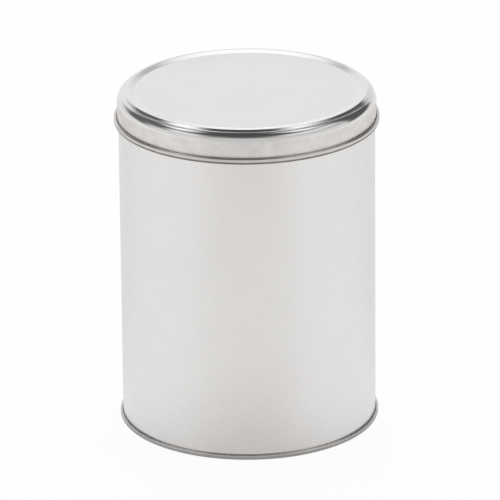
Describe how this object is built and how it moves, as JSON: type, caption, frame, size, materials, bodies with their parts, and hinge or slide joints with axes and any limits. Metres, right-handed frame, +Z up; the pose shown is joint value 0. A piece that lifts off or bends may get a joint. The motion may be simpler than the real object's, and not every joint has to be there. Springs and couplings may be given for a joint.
{
  "type": "slip-lid tin",
  "caption": "Round bare tinplate tin with a double-seamed base and a slip-over lid that lifts straight off; holds paint, powder or dry goods.",
  "frame": {"origin": "middle of the circle on which the tin's base seam stands", "axes": "+Z up along the tin's axis, +Y towards the side weld at the back"},
  "size_m": [0.1024, 0.1024, 0.134],
  "materials": {
    "body_tinplate": "bright tinplate, faintly satin",
    "end_tinplate": "bright tinplate, faintly satin",
    "lid_tinplate": "bright tinplate",
    "sealing_compound": "dull, cured sealing compound"
  },
  "bodies": {
    "can": {"body_shell": "body_tinplate", "bottom_end": "end_tinplate", "seam_compound": "sealing_compound"},
    "lid": {"lid": "lid_tinplate"}
  },
  "joints": [
    {"name": "lid_lift", "type": "slide", "parent": "can", "child": "lid", "axis": [0, 0, 1], "range_m": [0, 0.06]}
  ]
}
